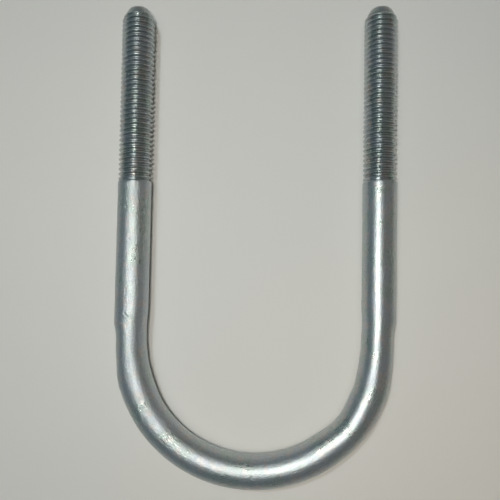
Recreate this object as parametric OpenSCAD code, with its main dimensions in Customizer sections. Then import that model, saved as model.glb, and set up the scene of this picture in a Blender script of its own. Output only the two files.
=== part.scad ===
// Round U-bolt: one bent steel bar, drawn lying flat, with the legs along +Y and the bow at -Y.
// The origin is under the middle of its length, halfway between the legs, on the surface it lies on.
// The bar is divided into the zones that do different work: bow, plain shanks and threaded ends.

/* [Bar] */
// Diameter of the round bar
bar_d = 12; // [11:0.5:14]
// Distance between the centres of the legs, which is twice the bow's centre-line radius
leg_spacing = 88; // [70:1:110]
// Length from the outside of the bow to the tips of the legs
overall_length = 172; // [150:1:220]

/* [Thread] */
// Length of each threaded end, from the plain shank to the tip
thread_length = 65; // [40:1:70]
// Distance along the leg from one crest to the next, right-hand thread
thread_pitch = 1.75; // [1.5:0.25:2]
// Depth of the groove below the crests
thread_depth = 1; // [0.7:0.05:1.05]
// Depth of the crests below the surface of the bar
crest_drop = 0.07; // [0.05:0.01:0.15]
// Turns over which the groove runs out into the plain shank
runout_turns = 1.25; // [0.5:0.25:3]

/* [Tip] */
// Diameter at which the tip's cone would meet the end face
tip_d = 6.4; // [5:0.1:7]
// Angle between the tip's cone and the axis of the leg
tip_angle = 30; // [25:1:40]
// Radius that rounds the cone into the end face
nose_r = 2.8; // [0.5:0.1:3.5]

/* [Hidden] */

round_fn = 96;
zinc = [0.66, 0.69, 0.71];
thread_zinc = [0.58, 0.61, 0.63];

bar_r = bar_d / 2;
bow_r = leg_spacing / 2;
tip_y = overall_length / 2;
shoulder_y = tip_y - thread_length;
bow_y = bow_r + bar_r - tip_y;

// The thread's mesh is a grid on the leg: columns run along it and rows follow the helix.
// Each turn has four rows: the groove's edge, the start and the end of the crest, the next edge.
columns = 24;
rows_per_turn = 4;
thread_start = 0.2;
crest_flat = thread_pitch / 8;
flank_run = thread_depth * tan(30);
row_offsets = [0, flank_run, flank_run + crest_flat, 2 * flank_run + crest_flat];
runout = runout_turns * thread_pitch;

// The nose is an arc that is tangent to the cone and to the end face.
nose_steps = 3;
nose_centre_r = tip_d / 2 - nose_r * (1 - sin(tip_angle)) / cos(tip_angle);
nose_centre_z = thread_length - nose_r;
nose_z = nose_centre_z + nose_r * sin(tip_angle);

turns = floor((nose_z - thread_start) / thread_pitch) - 1;
rows = turns * rows_per_turn;

// Height of a grid point above the shoulder
function row_z(column, row) =
    thread_start
    + thread_pitch * (floor(row / rows_per_turn) + column / columns)
    + row_offsets[row % rows_per_turn];

// Radius of the groove and of the crests, both of which start at the bar's own surface
function groove_r(z) = bar_r - (crest_drop + thread_depth) * min(1, z / runout);
function crest_r(z) = bar_r - crest_drop * min(1, z / runout);

// Radius of the cone that the tip is turned to
function cone_r(z) = tip_d / 2 + (thread_length - z) * tan(tip_angle);

function is_crest(row) = row % rows_per_turn == 1 || row % rows_per_turn == 2;
function row_r(z, row) = min(cone_r(z), is_crest(row) ? crest_r(z) : groove_r(z));

// A point of the leg's surface in the given column
function around(r, column, z) = [
    r * cos(360 * column / columns),
    r * sin(360 * column / columns),
    z
];

thread_points = concat(
    [for (c = [0 : columns - 1]) around(bar_r, c, 0)],
    [for (c = [0 : columns - 1], r = [0 : rows - 1]) around(row_r(row_z(c, r), r), c, row_z(c, r))],
    [for (s = [0 : nose_steps], c = [0 : columns - 1])
        let (a = tip_angle + (90 - tip_angle) * s / nose_steps)
        around(nose_centre_r + nose_r * cos(a), c, nose_centre_z + nose_r * sin(a))]
);

// Indices of the points on the shoulder ring, on the helical grid and on the nose rings
function shoulder(column) = column % columns;
function grid(column, row) = column == columns
    ? grid(0, row + rows_per_turn)
    : columns + column * rows + row;
function nose(step, column) = columns * (1 + rows + step) + column % columns;

// Two triangles for the patch between low left, low right, high right and high left
function patch(a, b, c, d) = [[a, d, c], [a, c, b]];

// Triangles from one apex to each edge of a chain of points
function fan(apex, chain) = [for (i = [0 : len(chain) - 2]) [apex, chain[i + 1], chain[i]]];

// The last column meets the first one turn higher, so its own rows stop a turn early.
function last_row(column) = column == columns - 1 ? rows - 1 - rows_per_turn : rows - 1;

thread_faces = concat(
    [[for (c = [0 : columns - 1]) shoulder(c)]],
    [for (c = [0 : columns - 2]) each patch(shoulder(c), shoulder(c + 1), grid(c + 1, 0), grid(c, 0))],
    fan(grid(columns - 1, 0), concat(
        [shoulder(columns - 1), shoulder(0)],
        [for (r = [0 : rows_per_turn]) grid(0, r)]
    )),
    [for (c = [0 : columns - 1], r = [0 : last_row(c) - 1])
        each patch(grid(c, r), grid(c + 1, r), grid(c + 1, r + 1), grid(c, r + 1))],
    [for (c = [0 : columns - 2])
        each patch(grid(c, rows - 1), grid(c + 1, rows - 1), nose(0, c + 1), nose(0, c))],
    fan(grid(0, rows - 1), concat(
        [nose(0, 0), nose(0, columns - 1)],
        [for (r = [0 : rows_per_turn]) grid(columns - 1, rows - 1 - r)]
    )),
    [for (s = [0 : nose_steps - 1], c = [0 : columns - 1])
        each patch(nose(s, c), nose(s, c + 1), nose(s + 1, c + 1), nose(s + 1, c))],
    [[for (c = [columns - 1 : -1 : 0]) nose(nose_steps, c)]]
);

// Places something drawn along +Z on the axis of a leg, starting at the given place along the leg
module on_leg(side, y) {
    translate([side * bow_r, y, bar_r])
        rotate([-90, 0, 0])
            children();
}

module shank(side) {
    color(zinc)
        on_leg(side, bow_y)
            cylinder(r = bar_r, h = shoulder_y - bow_y, $fn = round_fn);
}

// phase turns the start of the helix about the leg
module threaded_end(side, phase) {
    color(thread_zinc)
        on_leg(side, shoulder_y)
            rotate([0, 0, phase])
                polyhedron(points = thread_points, faces = thread_faces, convexity = 10);
}

module bow() {
    color(zinc)
        translate([0, bow_y, bar_r])
            rotate([0, 0, 180])
                rotate_extrude(angle = 180, $fn = round_fn)
                    translate([bow_r, 0])
                        circle(r = bar_r, $fn = round_fn);
}

module left_shank() { shank(-1); }

module right_shank() { shank(1); }

module left_threaded_end() { threaded_end(-1, 0); }

module right_threaded_end() { threaded_end(1, 150); }

bow();
left_shank();
right_shank();
left_threaded_end();
right_threaded_end();
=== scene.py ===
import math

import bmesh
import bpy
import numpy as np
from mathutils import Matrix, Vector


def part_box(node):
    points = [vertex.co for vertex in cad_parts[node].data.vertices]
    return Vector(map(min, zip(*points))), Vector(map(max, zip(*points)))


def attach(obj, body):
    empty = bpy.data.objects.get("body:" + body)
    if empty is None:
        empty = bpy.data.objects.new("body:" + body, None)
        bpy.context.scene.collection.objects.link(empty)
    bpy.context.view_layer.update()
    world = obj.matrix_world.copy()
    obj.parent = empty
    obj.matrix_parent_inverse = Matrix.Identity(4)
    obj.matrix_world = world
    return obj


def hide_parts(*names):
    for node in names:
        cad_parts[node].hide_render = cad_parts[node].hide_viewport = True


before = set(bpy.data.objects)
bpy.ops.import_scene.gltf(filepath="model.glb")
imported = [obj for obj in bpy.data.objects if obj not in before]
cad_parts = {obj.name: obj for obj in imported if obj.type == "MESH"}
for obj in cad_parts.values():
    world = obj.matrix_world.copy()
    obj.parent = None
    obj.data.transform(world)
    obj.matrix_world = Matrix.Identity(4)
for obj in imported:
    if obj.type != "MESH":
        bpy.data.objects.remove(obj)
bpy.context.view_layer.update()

# Looks for the round U-bolt: five closed meshes of zinc-plated steel that stand for the five CAD nodes.
# The bow and the shanks share one description of the bar's surface. Its unevenness fades out where the
# threads begin, so that the pieces meet without a visible joint.
# Lengths are in metres and angles in radians, in the frame of the part, unless a comment says degrees.

MM = 0.001

# Sizes read from the frame
BOW_LOW, BOW_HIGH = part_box("bow")
THREAD_LOW, THREAD_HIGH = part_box("right_threaded_end")
BAR_R = (BOW_HIGH.z - BOW_LOW.z) / 2
LEG_X = BOW_HIGH.x - BAR_R
BOW_Y = BOW_HIGH.y
SHOULDER_Y = THREAD_LOW.y
THREAD_LENGTH = THREAD_HIGH.y - THREAD_LOW.y
QUARTER = LEG_X * math.pi / 2
SHANK_LENGTH = SHOULDER_Y - BOW_Y
LEG_END = QUARTER + SHANK_LENGTH

# Mesh density
AROUND = 144
RING_GAP = 0.3 * MM
THREAD_AROUND = 96
ROWS_PER_TURN = 16

# Thread form
PITCH = 1.75 * MM
THREAD_DEPTH = 1.0 * MM
CREST_DROP = 0.07 * MM
CREST_HALF = PITCH / 16
FLANK_SLOPE = math.tan(math.radians(60))
EDGE_ROUNDING = 0.08 * MM
FIRST_CREST = 0.886 * MM
RUNOUT = 0.9 * PITCH
TIP_R = 3.2 * MM
TIP_ANGLE = math.radians(30)
TIP_SLOPE = math.tan(TIP_ANGLE)
TIP_ROUNDING = 0.5 * EDGE_ROUNDING
NOSE_R = 2.8 * MM
NOSE_STEPS = 12
TIP_RING_DEPTH = 0.16 * MM
TIP_RING_END = THREAD_LENGTH - 2.4 * MM
TIP_RING_FADE = 1.5 * MM

# Where each groove starts above its shoulder, and how far the right helix is turned about its leg
LEFT_PLAIN = 0.4 * MM
RIGHT_PLAIN = 1.5 * MM
RIGHT_PHASE = math.radians(150)


def smooth_step(x):
    t = np.clip(x, 0, 1)
    return t * t * (3 - 2 * t)


def soft_plus(x, k):
    return k * np.logaddexp(0, x / k)


def soft_min(a, b, k):
    return b - soft_plus(b - a, k)


# The bar's centre line: s is the distance along it from the middle of the bow, positive to the right.
def centre_line(s):
    turn = np.clip(s / LEG_X, -math.pi / 2, math.pi / 2)
    straight = np.abs(s) - np.abs(turn) * LEG_X
    outward = np.stack([np.sin(turn), -np.cos(turn), np.zeros_like(s)], -1)
    centre = outward * LEG_X + np.array([0, BOW_Y, BAR_R])
    centre[..., 1] += straight
    return centre, outward


# What the bending did to the bar, as (start, ramp in, end, ramp out, amount) along s.
# A positive amount swells that side of the bar in the plane of the U, and a negative one flattens it.
OUTER_SIDE = [
    (-QUARTER + 20 * MM, 12 * MM, -12 * MM, 12 * MM, 0.18 * MM),
    (QUARTER - 40 * MM, 10 * MM, QUARTER - 26 * MM, 10 * MM, 0.25 * MM),
]
INNER_SIDE = [
    (-QUARTER - 13 * MM, 7.0 * MM, -QUARTER - 1.0 * MM, 6.0 * MM, -0.36 * MM),
    (-QUARTER + 6.0 * MM, 7.0 * MM, -QUARTER + 16 * MM, 10 * MM, 0.28 * MM),
    (QUARTER - 42 * MM, 10 * MM, QUARTER - 30 * MM, 11 * MM, -0.70 * MM),
    (QUARTER - 17 * MM, 8.0 * MM, QUARTER - 5.0 * MM, 7.0 * MM, 0.38 * MM),
    (QUARTER + 3.0 * MM, 4.0 * MM, QUARTER + 8.0 * MM, 7.0 * MM, -0.24 * MM),
]

# The bender pressed the outer side flat at both ends of the bend, with a clear corner at the start:
# (side, from the bend's end up the leg to the corner, then down the bar: ramp, flat until, fade, depth)
PRESSED = [
    (-1, 7.0 * MM, 6.0 * MM, 11.5 * MM, 9.0 * MM, 0.85 * MM),
    (1, 9.5 * MM, 6.5 * MM, 13.5 * MM, 12 * MM, 0.85 * MM),
]

# Gouges, as lines on the unrolled surface: (s, angle) of each end, half width and depth.
# The angle is in degrees over the bar, from 0 on the outside of the U through 90 on top.
GOUGES = [
    (-QUARTER - 13.2 * MM, 84, -QUARTER - 10.9 * MM, 79, 0.28 * MM, 0.09 * MM),
    (-QUARTER - 10.9 * MM, 79, -QUARTER - 9.7 * MM, 93, 0.30 * MM, 0.20 * MM),
    (-QUARTER - 37.2 * MM, 86, -QUARTER - 35.6 * MM, 97, 0.25 * MM, 0.16 * MM),
    (-QUARTER - 22.6 * MM, 115, -QUARTER - 21.4 * MM, 119, 0.32 * MM, 0.12 * MM),
    (-QUARTER + 6.0 * MM, 88, -QUARTER + 9.0 * MM, 92, 0.30 * MM, 0.08 * MM),
    (0.2 * MM, 94, 0.8 * MM, 84, 0.24 * MM, 0.12 * MM),
    (8.0 * MM, 74, 10.5 * MM, 70, 0.35 * MM, 0.12 * MM),
    (QUARTER - 33 * MM, 60, QUARTER - 30.5 * MM, 65, 0.30 * MM, 0.10 * MM),
]

# The raised lip beside a gouge: its share of the depth, and its place and width in half widths
LIP_SHARE = 0.2
LIP_PLACE = 1.6
LIP_WIDTH = 0.5

# Slow unevenness of the drawn bar: wavelength along s, times it goes round the bar, size
WAVES = [
    (23 * MM, 2, 0.012 * MM),
    (9.0 * MM, 3, 0.006 * MM),
    (4.1 * MM, 5, 0.003 * MM),
]
WAVE_SHIFT = 1.7
END_FADE = 6 * MM


def side_change(s, table):
    change = np.zeros_like(s)
    for start, ramp_in, end, ramp_out, amount in table:
        rise = smooth_step((s - start) / ramp_in)
        fall = smooth_step((s - end) / ramp_out)
        change = change + amount * rise * (1 - fall)
    return change


def pressed_flat(s):
    depth = np.zeros_like(s)
    for side, corner, ramp, flat_until, fade, deepest in PRESSED:
        run = QUARTER + corner - side * s
        start = 1 - (1 - np.clip(run / ramp, 0, 1)) ** 2
        depth += deepest * start * (1 - smooth_step((run - flat_until) / fade))
    return depth


def gouge_depth(s, angle):
    depth = np.zeros_like(s)
    for s0, degrees0, s1, degrees1, half_width, deepest in GOUGES:
        a0 = math.radians(degrees0) * BAR_R
        a1 = math.radians(degrees1) * BAR_R
        length = math.hypot(s1 - s0, a1 - a0)
        along_s, along_a = (s1 - s0) / length, (a1 - a0) / length
        ds, da = s - s0, angle * BAR_R - a0
        t = ds * along_s + da * along_a
        off = np.abs(da * along_s - ds * along_a)
        beyond = np.maximum(np.maximum(-t, t - length), 0)
        distance = np.hypot(off, beyond) / half_width
        lip = LIP_SHARE * np.exp(-((distance - LIP_PLACE) / LIP_WIDTH) ** 2)
        depth += deepest * (np.exp(-distance ** 2) - lip)
    return depth


def unevenness(s, angle):
    total = np.zeros_like(s)
    for number, (wavelength, turns, size) in enumerate(WAVES):
        total += size * np.sin(2 * math.pi * s / wavelength + turns * angle + WAVE_SHIFT * number)
    return total - sum(size for _, _, size in WAVES)


def bar_points(s, angle):
    """Points of the bar's surface; the angle runs from the outside of the U over the top."""
    centre, outward = centre_line(s)
    dip = gouge_depth(s, angle) - unevenness(s, angle) * ends_fade(s)
    radius = BAR_R - dip
    outer_share = (1 + np.cos(angle)) / 2
    across = radius * np.cos(angle)
    across += (side_change(s, OUTER_SIDE) - pressed_flat(s)) * outer_share
    across -= side_change(s, INNER_SIDE) * (1 - outer_share)
    points = centre + outward * across[..., None]
    points[..., 2] += radius * np.sin(angle)
    return points


def ends_fade(s):
    """One on the plain bar, and zero where it meets the threads"""
    return smooth_step((LEG_END - np.abs(s)) / END_FADE)


def straightened(s, r, angle):
    """The same place on a straight bar, for the grain of the materials"""
    return np.stack([s, r * np.cos(angle), r * np.sin(angle)], -1)


def make_object(name, points, faces, straight, caps):
    mesh = bpy.data.meshes.new(name)
    mesh.from_pydata(points.tolist(), [], faces)
    mesh.polygons.foreach_set("use_smooth", [True] * len(mesh.polygons))
    sharp = mesh.attributes.new("sharp_edge", "BOOLEAN", "EDGE")
    ends = set()
    for cap in caps:
        ring = faces[cap]
        ends |= {frozenset(pair) for pair in zip(ring, ring[1:] + ring[:1])}
    sharp.data.foreach_set("value", [frozenset(e.vertices) in ends for e in mesh.edges])
    place = mesh.attributes.new("bar_place", "FLOAT_VECTOR", "POINT")
    place.data.foreach_set("vector", straight.astype(np.float32).ravel())
    mesh.validate()
    mesh.update()
    piece = bpy.data.objects.new(name, mesh)
    bpy.context.scene.collection.objects.link(piece)
    return piece


def bar_piece(name, start, end):
    """A closed length of plain bar between two places on the centre line"""
    count = round(abs(end - start) / RING_GAP) + 1
    s, angle = np.meshgrid(
        np.linspace(start, end, count),
        np.arange(AROUND) * 2 * math.pi / AROUND,
        indexing="ij",
    )
    points = bar_points(s, angle).reshape(-1, 3)
    straight = straightened(s, BAR_R, angle).reshape(-1, 3)
    faces = []
    for i in range(count - 1):
        for j in range(AROUND):
            a = i * AROUND + j
            b = i * AROUND + (j + 1) % AROUND
            faces.append([a, b, b + AROUND, a + AROUND])
    faces.append(list(range(AROUND))[::-1])
    faces.append([(count - 1) * AROUND + j for j in range(AROUND)])
    return make_object(name, points, faces, straight, [-1, -2])


# Threaded end: a height above the shoulder and an angle about the leg give the radius.
def cone_r(height):
    return TIP_R + (THREAD_LENGTH - height) * TIP_SLOPE


def thread_r(height, angle, plain):
    turns = (height - FIRST_CREST) / PITCH - angle / (2 * math.pi)
    from_crest = np.abs((turns + 0.5) % 1 - 0.5) * PITCH
    down = (from_crest - CREST_HALF) * FLANK_SLOPE
    groove = soft_plus(down, EDGE_ROUNDING) - soft_plus(down - THREAD_DEPTH, EDGE_ROUNDING)
    fade = smooth_step((height - plain) / RUNOUT)
    radius = BAR_R - (CREST_DROP + groove) * fade
    ring_share = smooth_step((TIP_RING_END - height) / TIP_RING_FADE)
    tip_ring = TIP_RING_DEPTH * groove / THREAD_DEPTH * ring_share
    return soft_min(radius, cone_r(height) - tip_ring, TIP_ROUNDING)


def nose_profile():
    """Radii and heights along the arc that rounds the cone into the end face"""
    centre_r = TIP_R - NOSE_R * (1 - math.sin(TIP_ANGLE)) / math.cos(TIP_ANGLE)
    centre_z = THREAD_LENGTH - NOSE_R
    turn = np.linspace(TIP_ANGLE, math.pi / 2, NOSE_STEPS + 1)
    return centre_r + NOSE_R * np.cos(turn), centre_z + NOSE_R * np.sin(turn)


def column_heights(column, top):
    """Heights of one column of the mesh: level rows to the first helical row, then the helical rows"""
    gap = PITCH / ROWS_PER_TURN
    first = gap + PITCH * column / THREAD_AROUND
    level = np.arange(0, first - gap / 2, gap)
    helical = np.arange(first, top - gap / 2, gap)
    return np.concatenate([level, helical])


def zip_columns(left, right, heights, faces):
    """Triangles between two neighbouring columns of points, lowest first"""
    i = j = 0
    while i < len(left) - 1 or j < len(right) - 1:
        left_next = heights[left[i + 1]] if i < len(left) - 1 else math.inf
        right_next = heights[right[j + 1]] if j < len(right) - 1 else math.inf
        if left_next <= right_next:
            faces.append([left[i], right[j], left[i + 1]])
            i += 1
        else:
            faces.append([left[i], right[j], right[j + 1]])
            j += 1


def thread_piece(name, side, phase, plain):
    """A closed threaded end; the groove starts a little above the shoulder, after a plain length"""
    nose_r, nose_z = nose_profile()
    heights, radii, angles, columns = [], [], [], []
    for column in range(THREAD_AROUND):
        angle = 2 * math.pi * column / THREAD_AROUND
        rows = column_heights(column, nose_z[0])
        start = len(heights)
        heights.extend(rows)
        heights.extend(nose_z)
        radii.extend(thread_r(rows, angle, plain))
        radii.extend(nose_r)
        angles.extend([angle + phase] * (len(rows) + len(nose_z)))
        columns.append(list(range(start, len(heights))))
    faces = []
    for column in range(THREAD_AROUND):
        zip_columns(columns[column], columns[(column + 1) % THREAD_AROUND], heights, faces)
    faces.append([column[0] for column in columns])
    faces.append([column[-1] for column in columns][::-1])
    height, radius, angle = np.array(heights), np.array(radii), np.array(angles)
    points = np.stack([
        side * LEG_X + radius * np.cos(angle),
        SHOULDER_Y + height,
        BAR_R - radius * np.sin(angle),
    ], -1)
    straight = straightened(LEG_END + height, radius, angle)
    return make_object(name, points, [face[::-1] for face in faces], straight, [-2])


# Materials
class Graph:
    """Adds shader nodes to a material or to the world and joins them"""

    def __init__(self, owner, shader):
        owner.use_nodes = True
        self.owner = owner
        self.tree = owner.node_tree
        self.shader = self.tree.nodes[shader]

    def set(self, node, inputs):
        for key, value in inputs.items():
            if isinstance(value, bpy.types.NodeSocket):
                self.tree.links.new(value, node.inputs[key])
            else:
                node.inputs[key].default_value = value

    def add(self, kind, inputs, output=0, **settings):
        node = self.tree.nodes.new(kind)
        for key, value in settings.items():
            setattr(node, key, value)
        self.set(node, inputs)
        return node.outputs[output]

    def noise(self, vector, scale, detail=2.0, roughness=0.5):
        inputs = {"Vector": vector, "Scale": scale, "Detail": detail, "Roughness": roughness}
        return self.add("ShaderNodeTexNoise", inputs)

    def axis(self, vector, number):
        return self.add("ShaderNodeSeparateXYZ", {"Vector": vector}, output=number)

    def stretch(self, vector, scale):
        return self.add("ShaderNodeMapping", {"Vector": vector, "Scale": scale})

    def ramp(self, value, low, high, start=0.0, end=1.0):
        inputs = {"Value": value, "From Min": low, "From Max": high, "To Min": start, "To Max": end}
        return self.add("ShaderNodeMapRange", inputs)

    def maths(self, operation, a, b):
        return self.add("ShaderNodeMath", {0: a, 1: b}, operation=operation)

    def mix(self, factor, a, b, blend="MIX"):
        inputs = {"Factor": factor, 6: a, 7: b}
        return self.add("ShaderNodeMix", inputs, output=2, data_type="RGBA", blend_type=blend)

    def bump(self, height, strength, distance, normal=None):
        inputs = {"Height": height, "Strength": strength, "Distance": distance}
        if normal is not None:
            inputs["Normal"] = normal
        return self.add("ShaderNodeBump", inputs)


def material_graph(name):
    return Graph(bpy.data.materials.new(name), "Principled BSDF")


# What the patterns of the plate darken it with, and the painted shade in the thread's groove
LINE_SHADE = (0.86, 0.86, 0.86, 1)
PEEL_SHADE = (0.70, 0.70, 0.71, 1)
SPECK_SHADE = (0.16, 0.17, 0.17, 1)
GROOVE_PAINTED_SHADE = (0.45, 0.45, 0.43, 1)

# The thread's finish changes from the bar's to its own between these places along the bar
BLEND_START = LEG_END + 0.8 * MM
BLEND_END = LEG_END + 2.2 * MM
BLEND_GRAIN = 0.15 * MM
BLEND_DULLING = 0.07
GROOVE_FLOOR_R = BAR_R - THREAD_DEPTH


def steel_noises(g, place):
    """The patterns of the plate, over the straightened bar"""
    return {
        "patches": g.noise(place, 140, 3.0),
        "tints": g.noise(place, 320, 3.0),
        "lines": g.noise(g.stretch(place, (0.05, 1, 1)), 2600, 3.0, 0.6),
        "peel": g.noise(g.stretch(place, (0.6, 1, 1)), 2300, 2.5, 0.65),
        "fine": g.noise(place, 5200, 2.0),
        "specks": g.noise(place, 3400, 1.0),
        "wear": g.noise(place, 60, 1.0),
    }


def steel_colour(g, noises, greenish, bluish, pinkish):
    colour = g.mix(g.ramp(noises["patches"], 0.40, 0.60), greenish, bluish)
    colour = g.mix(g.ramp(noises["tints"], 0.50, 0.68), colour, pinkish)
    colour = g.mix(g.ramp(noises["lines"], 0.3, 0.7, 0.0, 0.35), colour, LINE_SHADE, "MULTIPLY")
    colour = g.mix(g.ramp(noises["peel"], 0.35, 0.65, 0.0, 0.7), colour, PEEL_SHADE, "MULTIPLY")
    return g.mix(g.ramp(noises["specks"], 0.70, 0.76, 0.0, 0.5), colour, SPECK_SHADE)


def steel_roughness(g, noises, polish):
    patchy = g.ramp(noises["patches"], 0.35, 0.65, polish, polish + 0.07)
    return g.maths("ADD", patchy, g.ramp(noises["lines"], 0.3, 0.8, 0, 0.06))


def steel_normal(g, place, noises, depth):
    """Orange peel that is shallower to the right, a fine grain and drawing lines"""
    from_left = g.ramp(g.axis(place, 0), -QUARTER, QUARTER)
    wear = g.ramp(noises["wear"], 0.35, 0.65, 0.8, 1.0)
    wear = g.maths("MULTIPLY", wear, g.ramp(from_left, 0.0, 1.0, 1.0, 0.50))
    normal = g.bump(noises["peel"], wear, depth)
    normal = g.bump(noises["fine"], 0.6, 0.03 * MM, normal)
    return g.bump(noises["lines"], 0.6, 0.012 * MM, normal)


def thread_finish(g, place, colour, roughness, grain):
    """Colour, roughness and grain of the thread, with painted shade darkening the colour down in the
    groove, which is also duller
    """
    along = g.axis(place, 0)
    depth = g.ramp(along, BLEND_START, BLEND_END, BLEND_GRAIN, grain)
    roughness = g.maths("ADD", roughness, g.ramp(along, BLEND_START, BLEND_END, BLEND_DULLING, 0.0))
    across = g.add("ShaderNodeVectorMath", {0: place, 1: (0, 1, 1)}, operation="MULTIPLY")
    radius = g.add("ShaderNodeVectorMath", {0: across}, output=1, operation="LENGTH")
    # Painted shade: the colour darkens towards the floor of the groove
    painted_groove_shade = g.ramp(radius, GROOVE_FLOOR_R, BAR_R - 0.35 * MM, 0.25, 0.0)
    colour = g.mix(painted_groove_shade, colour, GROOVE_PAINTED_SHADE, "MULTIPLY")
    dulling = g.ramp(radius, GROOVE_FLOOR_R, BAR_R - 0.3 * MM, 0.06, 0.0)
    return colour, g.maths("ADD", roughness, dulling), depth


def steel(name, greenish, bluish, pinkish, polish, grain, threaded):
    """Zinc plate: mottled colour, orange peel, drawing lines along the bar and small dull specks"""
    g = material_graph(name)
    place = g.add("ShaderNodeAttribute", {}, output=1, attribute_name="bar_place")
    noises = steel_noises(g, place)
    colour = steel_colour(g, noises, greenish, bluish, pinkish)
    roughness = steel_roughness(g, noises, polish)
    depth = grain
    if threaded:
        colour, roughness, depth = thread_finish(g, place, colour, roughness, grain)
    normal = steel_normal(g, place, noises, depth)
    g.set(g.shader, {"Metallic": 1.0, "Base Color": colour, "Roughness": roughness, "Normal": normal})
    return g.owner


PAPER_DARK = (0.760, 0.765, 0.735, 1)
PAPER_LIGHT = (0.775, 0.775, 0.745, 1)
# The lighter, warmer colour of the painted light towards +X and -Y
PAPER_PAINTED_WARM_LIGHT = (0.830, 0.795, 0.725, 1)


def paper(name):
    """A plain pale matt top with a barely visible grain, and painted light that makes it lighter and
    warmer towards +X and -Y
    """
    g = material_graph(name)
    place = g.add("ShaderNodeTexCoord", {}, output=3)
    cloud = g.noise(place, 14, 2.0)
    grain = g.noise(place, 2500, 2.0)
    colour = g.mix(g.ramp(cloud, 0.35, 0.65), PAPER_DARK, PAPER_LIGHT)
    # Painted light: the floor's colour turns lighter and warmer towards +X and -Y
    painted_light_side = g.maths("SUBTRACT", g.axis(place, 0), g.axis(place, 1))
    colour = g.mix(g.ramp(painted_light_side, 0.01, 0.17, 0.0, 1.0), colour, PAPER_PAINTED_WARM_LIGHT)
    normal = g.bump(grain, 0.3, 0.01 * MM)
    g.set(g.shader, {"Base Color": colour, "Roughness": 0.75, "Normal": normal})
    return g.owner


# Pieces
pieces = {
    "bow": bar_piece("bow_bar", -QUARTER, QUARTER),
    "left_shank": bar_piece("left_shank_bar", -LEG_END, -QUARTER),
    "right_shank": bar_piece("right_shank_bar", QUARTER, LEG_END),
    "left_threaded_end": thread_piece("left_thread", -1, 0, LEFT_PLAIN),
    "right_threaded_end": thread_piece("right_thread", 1, RIGHT_PHASE, RIGHT_PLAIN),
}
bar_steel = steel(
    "zinc_plated_bar",
    greenish=(0.50, 0.565, 0.545, 1),
    bluish=(0.52, 0.56, 0.60, 1),
    pinkish=(0.60, 0.57, 0.555, 1),
    polish=0.25,
    grain=0.22 * MM,
    threaded=False,
)
thread_steel = steel(
    "zinc_plated_thread",
    greenish=(0.50, 0.565, 0.545, 1),
    bluish=(0.52, 0.56, 0.59, 1),
    pinkish=(0.59, 0.57, 0.555, 1),
    polish=0.18,
    grain=0.04 * MM,
    threaded=True,
)
for node, piece in pieces.items():
    threaded = "threaded" in node
    piece.data.materials.append(thread_steel if threaded else bar_steel)
    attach(piece, "root")
    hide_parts(node)

# Floor
FLOOR_HALF = 2.0
FLOOR_SEGMENTS = 8
grid = bmesh.new()
bmesh.ops.create_grid(grid, x_segments=FLOOR_SEGMENTS, y_segments=FLOOR_SEGMENTS, size=FLOOR_HALF)
floor_mesh = bpy.data.meshes.new("floor")
grid.to_mesh(floor_mesh)
grid.free()
floor = bpy.data.objects.new("floor", floor_mesh)
floor.data.materials.append(paper("pale_floor"))
bpy.context.scene.collection.objects.link(floor)


# Lights, with places and aims measured from the point under the centre of the bend.
# Soft panels that only the metal reflects: name, place, half size, brightness and colour
PANELS = [
    ("near_panel", (-0.020, -0.014, 0.155), (0.040, 0.062), 0.33, (1, 1, 0.97)),
    ("wide_panel", (-0.42, 0.017, 1.0), (0.20, 0.14), 1.05, (0.97, 1, 1)),
]
PANEL_STEPS = (0.60, 1.18, 1.89)

# Square lamps that only the metal reflects: name, place, aim, side, power in watts and colour
SHINE_LAMPS = [
    ("bow_shine", (-0.042, -0.005, 0.28), (-0.042, -0.005, 0), 0.045, 0.19, (1, 0.98, 0.91)),
    ("leg_shine", (-0.042, 0.085, 0.28), (-0.042, 0.085, 0), 0.045, 0.11, (1, 0.98, 0.91)),
]

# Square lamps that light the matt floor and that the metal doesn't reflect, in the same form
FLOOR_LAMPS = [
    ("key_light", (-0.30, 0.615, 1.5), (0, 0, 0), 0.06, 4.7, (0.78, 0.91, 1)),
    ("front_light", (-0.017, 0.026, 0.28), (-0.017, 0.026, 0), 0.03, 0.27, (1, 0.96, 0.89)),
    ("ceiling_light", (-0.10, 0.12, 0.9), (0.02, 0.06, 0), 0.7, 2.0, (1, 0.96, 0.89)),
]


def from_bend(place):
    """A place in the frame of the part, from one measured from the point under the bend's centre"""
    return (place[0], BOW_Y + place[1], place[2])


def area_light(name, place, aim, size, power, colour):
    data = bpy.data.lights.new(name, "AREA")
    data.shape = "RECTANGLE"
    data.size, data.size_y = size
    data.energy = power
    data.color = colour
    lamp = bpy.data.objects.new(name, data)
    lamp.location = place
    lamp.rotation_euler = (Vector(aim) - Vector(place)).to_track_quat("-Z", "Y").to_euler()
    lamp.visible_camera = False
    bpy.context.scene.collection.objects.link(lamp)
    return lamp


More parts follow.
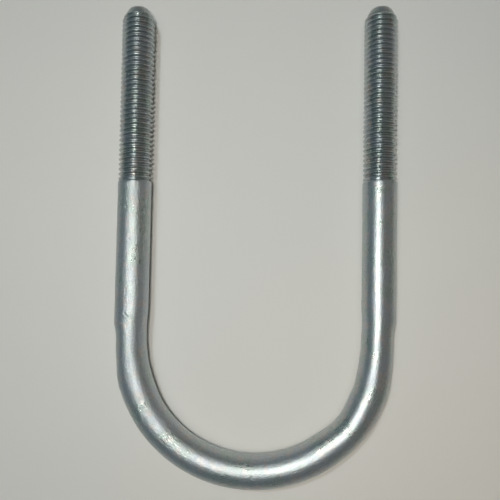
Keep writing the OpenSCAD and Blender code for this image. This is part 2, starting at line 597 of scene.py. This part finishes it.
def soft_panel(name, place, half_size, brightness, colour):
    """Three nested ellipses facing straight down, brightest in the middle"""
    for step, share in enumerate(PANEL_STEPS):
        size = (2 * share * half_size[0], 2 * share * half_size[1])
        ellipse_area = math.pi / 4 * size[0] * size[1]
        power = brightness / len(PANEL_STEPS) * math.pi * ellipse_area
        lamp = area_light(f"{name}_{step}", place, (place[0], place[1], 0), size, power, colour)
        lamp.data.shape = "ELLIPSE"
        lamp.visible_diffuse = False


for name, place, half_size, brightness, colour in PANELS:
    soft_panel(name, from_bend(place), half_size, brightness, colour)
for name, place, aim, side, power, colour in SHINE_LAMPS:
    shine = area_light(name, from_bend(place), from_bend(aim), (side, side), power, colour)
    shine.visible_diffuse = False
for name, place, aim, side, power, colour in FLOOR_LAMPS:
    lamp = area_light(name, from_bend(place), from_bend(aim), (side, side), power, colour)
    lamp.visible_glossy = False

# The room, which only reflections show: cooler at the left, warmer at the right, darker towards -Y
ROOM_LEFT = (0.175, 0.225, 0.245, 1)
ROOM_RIGHT = (0.235, 0.23, 0.215, 1)
ROOM_NEAR_BOW = (0.10, 0.125, 0.14, 1)
world = bpy.data.worlds.new("studio")
room_graph = Graph(world, "Background")
direction = room_graph.add("ShaderNodeTexCoord", {})
sideways = room_graph.ramp(room_graph.axis(direction, 0), -0.5, 0.5)
dimming = room_graph.ramp(room_graph.axis(direction, 1), -0.7, 0.3, 0.3, 0.0)
room = room_graph.mix(sideways, ROOM_LEFT, ROOM_RIGHT)
room = room_graph.mix(dimming, room, ROOM_NEAR_BOW)
room_graph.set(room_graph.shader, {"Color": room})
world.cycles_visibility.diffuse = False
bpy.context.scene.world = world

# Camera: its place is measured from the point under the bend's centre, and its lens is in millimetres
CAMERA_PLACE = (0.00605, 0.02591, 0.20568)
CAMERA_TURN = (0.04062, 0.03933, 0.01833)
camera_data = bpy.data.cameras.new("camera")
camera_data.lens = 40.25
camera_data.sensor_width = 36
camera_data.clip_start = 10 * MM
camera = bpy.data.objects.new("camera", camera_data)
camera.location = from_bend(CAMERA_PLACE)
camera.rotation_mode = "ZXY"
camera.rotation_euler = CAMERA_TURN
bpy.context.scene.collection.objects.link(camera)
bpy.context.scene.camera = camera
bpy.context.scene.view_settings.view_transform = "Standard"
